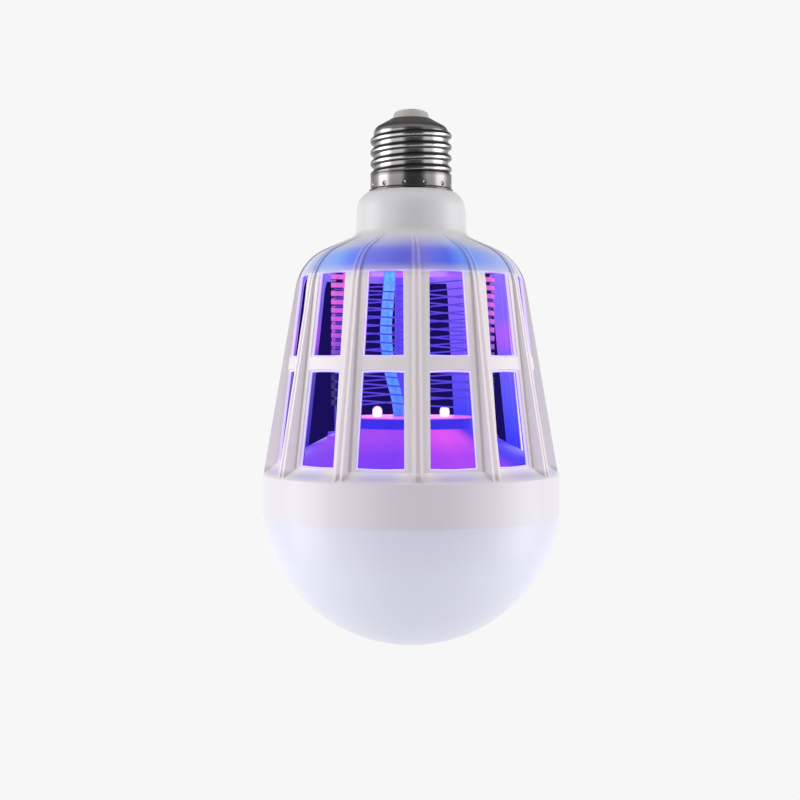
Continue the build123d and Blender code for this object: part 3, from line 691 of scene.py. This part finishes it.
def dress_violet_lamps():
    """Lit lamps, white hot in the middle and pink at the outline."""
    lamp = Finish("violet_lamp", Roughness=0.1, Coat_Weight=1.0)
    tree = lamp.tree
    cloud = noise(tree, lamp.position, 500.0, 1.0)
    lamp.colour(paint(240, 220, 250), maths(tree, "ADD", product(tree, cloud, 0.1), 0.9))
    lamp.glow(blend(tree, outline(tree), paint(255, 250, 255), paint(255, 100, 232)), 1.15)
    lamp.on("uv_led_1", "uv_led_2", "uv_led_3", "uv_led_4")


def dress_white_lamps():
    phosphor = Finish("lamp_phosphor", Roughness=0.4)
    tone = phosphor.wear(varnish, 0.01 * mm, Pores=0.2)
    phosphor.colour(paint(250, 244, 190), tone)
    phosphor.glow(paint(255, 255, 250), 0.6)
    phosphor.on("white_leds")


def dress_dome():
    """Opal plastic, a little lit from inside, with painted shade that is darkest at its foot."""
    dome = Finish("opal_dome", IOR=1.49, Subsurface_Weight=0.15, Subsurface_Scale=2 * mm)
    tree = dome.tree
    tone = dome.wear(moulded_skin, 0.01 * mm, Gloss=0.3, Grain=1500.0)
    height = dome.place()["Height"]
    # Painted shade and light on the opal: darkest at the foot, lightest halfway up.
    milk_shaded = colours_along(
        tree,
        height,
        dome_foot_z,
        dome_top_z,
        [
            (0.0, paint(212, 215, 225)),
            (0.5, paint(223, 226, 236)),
            (0.8, paint(217, 217, 229)),
            (1.0, paint(218, 216, 227)),
        ],
    )
    dome.colour(milk_shaded, tone)
    dome.glow(paint(192, 196, 216), 0.19)
    dome.on("diffuser_dome")


# Cap


def thread_highlights_and_shade(tree, height, bearing):
    """One turn of the thread from crest to crest, with painted shade on the flanks and painted highlights at
    the crest and the root.
    """
    crest_z = thread_start_z + thread_pitch / 4
    climb = product(tree, bearing, thread_pitch / math.tau)
    over_crest = maths(tree, "SUBTRACT", maths(tree, "SUBTRACT", height, climb), crest_z)
    return colours_along(
        tree,
        maths(tree, "FRACT", maths(tree, "DIVIDE", over_crest, thread_pitch)),
        0.0,
        1.0,
        [
            (0.0, grey(255)),
            (0.08, grey(225)),
            (0.17, paint(84, 82, 82)),
            (0.42, paint(76, 74, 74)),
            (0.52, grey(206)),
            (0.76, grey(220)),
            (0.84, paint(92, 90, 90)),
            (0.91, paint(100, 98, 98)),
            (0.98, grey(255)),
        ],
    )


def cap_reflection_bands(tree, height):
    """Painted reflections: the light and dark bands of the flared rim, the skirt and the rounded top."""
    return colours_along(
        tree,
        height,
        cap_foot_z,
        cap_top_z,
        [
            (0.0, paint(90, 88, 88)),
            (0.045, paint(156, 154, 154)),
            (0.18, paint(172, 170, 170)),
            (0.23, paint(96, 94, 94)),
            (0.8, paint(150, 148, 148)),
            (0.84, paint(210, 208, 208)),
            (0.87, paint(120, 118, 118)),
            (0.93, paint(168, 166, 166)),
            (1.0, paint(140, 138, 138)),
        ],
    )


def dress_cap():
    nickel = Finish("nickel_plate", Metallic=1.0)
    tree = nickel.tree
    tone = nickel.wear(handled_metal, 0.008 * mm, Gloss=0.16, Wear=0.4)
    place = nickel.place()
    height = place["Height"]
    bearing = place["Bearing"]
    # Painted reflection: the nickel darkens towards its outline.
    plate = blend(tree, fade(tree, outline(tree), 0.35, 0.85), paint(236, 234, 234), paint(100, 96, 96))
    thread_begins = (5.6 * mm, 6.6 * mm)
    thread_ends = (18.6 * mm, 19.6 * mm)
    on_thread = band(tree, height, thread_begins, thread_ends)
    bands = blend(tree, on_thread, cap_reflection_bands(tree, height), thread_highlights_and_shade(tree, height, bearing))
    nickel.colour(blend(tree, 1.0, plate, bands, "MULTIPLY"), tone)
    nickel.on("cap_shell")


def coated(name, colour, group, gloss, *names, **values):
    """A finish of one colour with that group's wear."""
    finish = Finish(name, **values)
    finish.colour(colour, finish.wear(group, skin_depth, Gloss=gloss))
    finish.on(*names)


def printed_board(name, mask, track, *names):
    """A board with that solder mask, and a lighter one over its tracks."""
    board = Finish(name, Roughness=0.35)
    tree = board.tree
    face = use(tree, board_face, Position=board.position, Mask_Colour=mask, Track_Colour=track)
    tree.links.new(face["Color"], board.shader.inputs["Base Color"])
    tree.links.new(relief(tree, face["Height"], 0.03 * mm), board.shader.inputs["Normal"])
    board.on(*names)


dress_housing()
dress_tray()
dress_ceiling()
dress_combs()
dress_wires()
dress_sleeve()
dress_violet_lamps()
dress_white_lamps()
dress_dome()
dress_cap()
coated("cap_insulator", paint(192, 190, 182), varnish, 0.35, "cap_insulator")
coated("tinned_contact", paint(215, 215, 216), handled_metal, 0.4, "centre_contact", Metallic=0.6)

# Pieces inside the tray and the dome

steel_screws = ["uv_board_screws", "driver_screws", "panel_screws", "plate_screws"]
black_parts = ["bridge_rectifier", "control_chip", "boost_diodes"]

coated("live_insulation", paint(190, 40, 34), varnish, 0.4, "live_lead")
coated("neutral_insulation", paint(34, 34, 36), varnish, 0.4, "neutral_lead")
coated("lead_insulation", paint(186, 44, 38), varnish, 0.4, "uv_leads", "panel_leads")
coated("screw_steel", paint(188, 188, 190), handled_metal, 0.25, *steel_screws, Metallic=1.0)
coated("panel_aluminium", paint(222, 224, 226), handled_metal, 0.3, "led_panel", Metallic=0.8)
coated("can_sleeve", paint(26, 30, 52), varnish, 0.25, "smoothing_capacitor")
coated("film_coat", paint(176, 48, 34), varnish, 0.3, "film_capacitor")
coated("ferrite", paint(52, 52, 54), varnish, 0.6, "filter_choke", "transformer_core")
coated("winding", paint(206, 150, 54), varnish, 0.35, "transformer_winding", Metallic=0.5)
coated("moulded_resin", paint(34, 34, 36), varnish, 0.5, *black_parts)
coated("disc_coat", paint(38, 82, 170), varnish, 0.3, "boost_capacitors")
coated("resistor_coat", paint(196, 176, 132), varnish, 0.4, "fuse_resistor")
printed_board("driver_board", paint(18, 96, 52), paint(30, 128, 70), "driver_board")
printed_board("lamp_board", paint(232, 232, 228), paint(242, 242, 240), "uv_board")

# Studio: a pale floor and backdrop

background = grey(247)
room_colour = (0.95, 0.94, 1.0, 1.0)
room_strength = 0.6
floor_size = 16.0
floor_z = -0.8

# The backdrop's dark patch of painted shade, in degrees across and up; its flare is how much it widens with
# each degree down

patch_heading = 2.12
patch_half_width = 3.73
patch_flare = 0.15
patch_top = 3.7
patch_foot = -4.3
patch_soft = 0.15


def seen(tree):
    """1 where a ray shows the background itself, and 0 where it only lights the lamp."""
    rays = add(tree, "LightPath").outputs
    through = maths(tree, "MAXIMUM", rays["Is Glossy Ray"], rays["Is Transmission Ray"])
    return maths(tree, "MAXIMUM", rays["Is Camera Ray"], through)


def either(tree, share, first, second):
    """The first shader, or the second one where share is 1."""
    choice = add(tree, "MixShader")
    tree.links.new(share, choice.inputs[0])
    tree.links.new(first.outputs[0], choice.inputs[1])
    tree.links.new(second.outputs[0], choice.inputs[2])
    return choice.outputs[0]


def shade_patch(tree):
    """1 for a direct look at the dark patch of painted shade on the backdrop straight behind the cage, which
    shows through the far windows.
    """
    parts = add(tree, "SeparateXYZ")
    tree.links.new(add(tree, "TexCoord").outputs["Generated"], parts.inputs[0])
    across, deep, up = parts.outputs
    heading = maths(tree, "DEGREES", maths(tree, "ARCTAN2", across, deep))
    rise = maths(tree, "DEGREES", maths(tree, "ARCSINE", up))
    flare = product(tree, maths(tree, "SUBTRACT", patch_top, rise), patch_flare)
    aside = maths(tree, "ABSOLUTE", maths(tree, "SUBTRACT", heading, patch_heading))
    past_flare = maths(tree, "SUBTRACT", aside, flare)
    return product(
        tree,
        fade(tree, past_flare, patch_half_width, patch_half_width - patch_soft),
        fade(tree, rise, patch_top, patch_top - patch_soft),
        fade(tree, rise, patch_foot, patch_foot + patch_soft),
        add(tree, "LightPath").outputs["Is Camera Ray"],
    )


def build_backdrop():
    """A world that lights the lamp plainly and shows the pale background with the dark patch of painted
    shade.
    """
    world = bpy.data.worlds.new("studio")
    bpy.context.scene.world = world
    world.use_nodes = True
    tree = world.node_tree
    tree.nodes.clear()
    room = add(tree, "Background")
    room.inputs["Color"].default_value = room_colour
    room.inputs["Strength"].default_value = room_strength
    shown = add(tree, "Background")
    tree.links.new(blend(tree, shade_patch(tree), background, shade_navy), shown.inputs["Color"])
    shown.inputs["Strength"].default_value = 1.0
    tree.links.new(either(tree, seen(tree), room, shown), add(tree, "OutputWorld").inputs[0])


def build_floor():
    """A matt floor that shows as the backdrop does."""
    bpy.ops.mesh.primitive_plane_add(size=floor_size, location=(0, 0, floor_z))
    floor = bpy.context.object
    floor.name = "studio_floor"
    paper = bpy.data.materials.new("floor_paper")
    paper.use_nodes = True
    tree = paper.node_tree
    matt = tree.nodes["Principled BSDF"]
    matt.inputs["Base Color"].default_value = background
    matt.inputs["Roughness"].default_value = 0.9
    shown = add(tree, "Emission")
    shown.inputs["Color"].default_value = background
    out = tree.nodes["Material Output"]
    tree.links.new(either(tree, seen(tree), matt, shown), out.inputs[0])
    floor.data.materials.append(paper)


build_backdrop()
build_floor()

# Dark flags that only reflections show: they give the nickel its dark bands


def flag(name, place, size, turn, level):
    """A card of that grey, which only glossy rays see."""
    bpy.ops.mesh.primitive_plane_add(size=1.0, location=place, rotation=turn)
    card = bpy.context.object
    card.name = name
    card.scale = (size[0], size[1], 1.0)
    cloth = bpy.data.materials.new(name)
    cloth.use_nodes = True
    tree = cloth.node_tree
    shown = add(tree, "Emission")
    shown.inputs["Color"].default_value = grey(level)
    tree.links.new(shown.outputs[0], tree.nodes["Material Output"].inputs[0])
    card.data.materials.append(cloth)
    card.visible_camera = False
    card.visible_diffuse = False
    card.visible_shadow = False
    card.visible_transmission = False


flag("front_flag", (0.1, -0.75, 0.15), (0.86, 1.1), (math.pi / 2, 0, 0), 78)
flag("top_flag", (0, 0.2, 0.62), (3.4, 3.0), (0, 0, 0), 150)

# Softboxes

lamp_middle = Vector((0.0, 0.0, -0.06))


def softbox(name, place, size, power):
    """A rectangular lamp that faces the middle of the bulb."""
    bpy.ops.object.light_add(type="AREA", location=place)
    lamp = bpy.context.object
    lamp.name = name
    lamp.data.shape = "RECTANGLE"
    lamp.data.size, lamp.data.size_y = size
    lamp.data.energy = power
    lamp.rotation_euler = (lamp_middle - lamp.location).to_track_quat("-Z", "Y").to_euler()


softbox("left_softbox", (-0.75, -0.02, -0.1), (0.5, 0.9), 3.2)
softbox("right_softbox", (0.75, 0.0, -0.1), (0.5, 0.9), 2.9)
softbox("top_softbox", (0.0, -0.1, 0.8), (0.7, 0.7), 1.6)

# Camera: at the height of the mid cross bars, a little to the left of the front fins

camera_distance = 0.48
camera_side = 2.6 * degree
axis_shift = 0.43 * degree
camera_drop = 1.33 * degree
eye_z = -56.5 * mm
film_width = 36.0
focal_pixels = 1469
picture_pixels = 800

bpy.ops.object.camera_add(
    location=(-camera_distance * math.sin(camera_side), -camera_distance * math.cos(camera_side), eye_z),
    rotation=(math.pi / 2 - camera_drop, 0.0, axis_shift - camera_side),
)
camera = bpy.context.object
camera.data.sensor_width = film_width
camera.data.lens = film_width * focal_pixels / picture_pixels
camera.data.clip_start = 0.01
bpy.context.scene.camera = camera
bpy.context.scene.view_settings.view_transform = "Standard"
